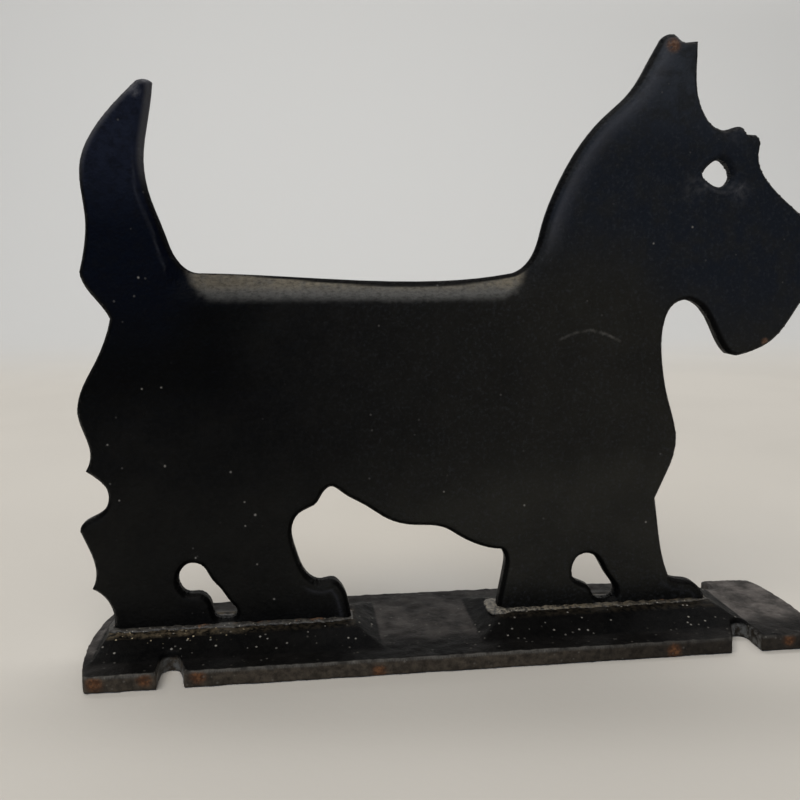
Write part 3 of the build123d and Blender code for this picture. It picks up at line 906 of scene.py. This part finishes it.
puttyPaint = {
    "bare": (0.012, 0.011, 0.010),
    "dust": ((0.17, 0.138, 0.088), (0.21, 0.188, 0.150)),    # at the toe and at the heel of the fore foot
    "specks": (0.42, 0.38, 0.32),
    "rust": (0.16, 0.075, 0.035),
}


def puttyFinish():
    # dark painted putty with pale dust that fades from the fore heel to both ends, specks and rust
    f = Finish("paintedPutty")
    x = f.axis(0)
    dusty = f.ramp(f.noise(1.2, 5.0, 0.7), 0.36, 0.66)
    dusty = f.times(dusty, f.ramp(x, 0.0, 8.0, 0.2, 1.0))
    dusty = f.times(dusty, f.ramp(x, 12.0, 46.0, 1.0, 0.4))
    pale = f.mix(f.ramp(x, 26.0, 8.0), *puttyPaint["dust"])
    colour = f.mix(dusty, puttyPaint["bare"], pale)
    colour = f.mix(f.times(f.ramp(f.cells(1.1), 0.2, 0.08), 0.6), colour, puttyPaint["specks"])
    rusty = f.ramp(f.noise(0.35, 4.0, 0.6), 0.58, 0.68)
    colour = f.mix(f.times(rusty, 0.6), colour, puttyPaint["rust"])
    normal = f.bump(f.noise(2.6, 4.0, 0.65), 0.09)
    return f.done(colour, f.ramp(dusty, 0.0, 1.0, 0.5, 0.8), normal)


screwPaint = {
    "steel": (0.36, 0.35, 0.34),
    "tarnish": (0.16, 0.12, 0.09),
    "rust": (0.2, 0.08, 0.03),
}


def screwFinish():
    # steel under noise-shaped tarnish, with small rust spots that aren't metallic
    f = Finish("dullSteel")
    tarnish = f.ramp(f.noise(0.9, 5.0, 0.65), 0.4, 0.65)
    colour = f.mix(tarnish, screwPaint["steel"], screwPaint["tarnish"])
    spots = f.ramp(f.noise(2.2, 4.0, 0.7), 0.6, 0.7)
    colour = f.mix(spots, colour, screwPaint["rust"])
    rough = f.ramp(f.noise(1.5, 3.0, 0.6), 0.3, 0.7, 0.35, 0.6)
    normal = f.bump(f.noise(5.0, 3.0, 0.6), 0.02)
    return f.done(colour, rough, normal, f.math("SUBTRACT", 0.9, spots, True))


studio = {
    "floorColour": (0.60, 0.57, 0.52),
    "wallColour": (0.59, 0.59, 0.58),
    "skyColour": (0.80, 0.77, 0.72),
    "skyStrength": 0.13,
    # place, target, size, watts, colour
    "lights": {
        "overhead": ((-0.2, -0.36, 0.9), (0.0, 0.0, 0.0), (0.9, 0.5), 6.0, (1.0, 0.96, 0.90)),
        "wallLight": ((0.3, 0.5, 1.2), (0.4, 1.1, 0.3), (3.0, 0.4), 17.0, (1.0, 0.99, 0.98)),
        "coolWindow": ((-0.3, -1.0, 0.5), (0.0, 0.0, 0.1), (1.1, 0.6), 3.0, (0.55, 0.72, 1.0)),
    },
    "cameraPlace": (-0.03282, -0.15805, 0.07614),
    "cameraDown": 9.02,      # degrees below level, then degrees turned towards +X
    "cameraTurn": 7.33,
    "lens": 36.0,
}


def buildFloor():
    # a flat floor, a quarter ellipse that curves up from it, and a straight wall
    t = np.linspace(0, np.pi / 2, 60)
    run = np.concatenate([np.linspace(-2.0, 0.7, 12), 0.7 + 0.5 * np.sin(t), [1.2, 1.2]])
    rise = np.concatenate([np.zeros(12), 0.5 - 0.5 * np.cos(t), [1.0, 3.0]])
    points = np.stack([np.repeat([-3.0, 3.0], len(run)), np.tile(run, 2), np.tile(rise, 2)], 1)
    i = np.arange(len(run) - 1)
    quads = np.stack([i, i + len(run), i + len(run) + 1, i + 1], 1)
    sheet = makePiece("paleFloor", points / mm, quads)
    f = Finish("paleFloor")
    shade = f.ramp(f.noise(0.01, 2.0, 0.5), 0.3, 0.7)
    darker = tuple(part * 0.96 for part in studio["floorColour"])
    colour = f.mix(shade, studio["floorColour"], darker)
    colour = f.mix(f.ramp(f.axis(1), 350.0, 800.0), colour, studio["wallColour"])
    f.done(colour, 0.75, f.bump(f.noise(0.4, 3.0, 0.5), 0.05))
    sheet.data.materials.append(f.material)


def softBox(name, place, target, size, watts, colour):
    # a rectangular lamp at that place, turned to the target
    light = bpy.data.lights.new(name, "AREA")
    light.shape = "RECTANGLE"
    light.size, light.size_y = size
    light.energy = watts
    light.color = colour
    lamp = bpy.data.objects.new(name, light)
    lamp.location = place
    lamp.rotation_mode = "QUATERNION"
    lamp.rotation_quaternion = (Vector(place) - Vector(target)).to_track_quat("Z", "Y")
    bpy.context.scene.collection.objects.link(lamp)


def buildStudio():
    # a dim even sky, three soft lamps, and the camera
    world = bpy.data.worlds.new("room")
    bpy.context.scene.world = world
    world.use_nodes = True
    background = world.node_tree.nodes["Background"]
    background.inputs["Color"].default_value = (*studio["skyColour"], 1.0)
    background.inputs["Strength"].default_value = studio["skyStrength"]
    for name, values in studio["lights"].items():
        softBox(name, *values)
    bpy.context.scene.view_settings.view_transform = "Standard"
    camera = bpy.data.cameras.new("camera")
    camera.lens = studio["lens"]
    camera.sensor_width = 36.0
    camera.clip_start = 0.01
    viewer = bpy.data.objects.new("camera", camera)
    viewer.location = studio["cameraPlace"]
    viewer.rotation_euler = (math.radians(90 - studio["cameraDown"]), 0.0, math.radians(-studio["cameraTurn"]))
    bpy.context.scene.collection.objects.link(viewer)
    bpy.context.scene.camera = viewer


casting = buildDog()
plinth = buildBase()
beads = [buildPutty("hind", 31), buildPutty("fore", 41)]
casting.data.materials.append(dogFinish())
plinth.data.materials.append(baseFinish())
puttyLook = puttyFinish()
screwLook = screwFinish()
for bead in beads:
    bead.data.materials.append(puttyLook)
for foot in feet:
    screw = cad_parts[f"{foot}_foot_screw"]
    screw.data.materials.clear()
    screw.data.materials.append(screwLook)
print("finishes done")
buildFloor()
buildStudio()
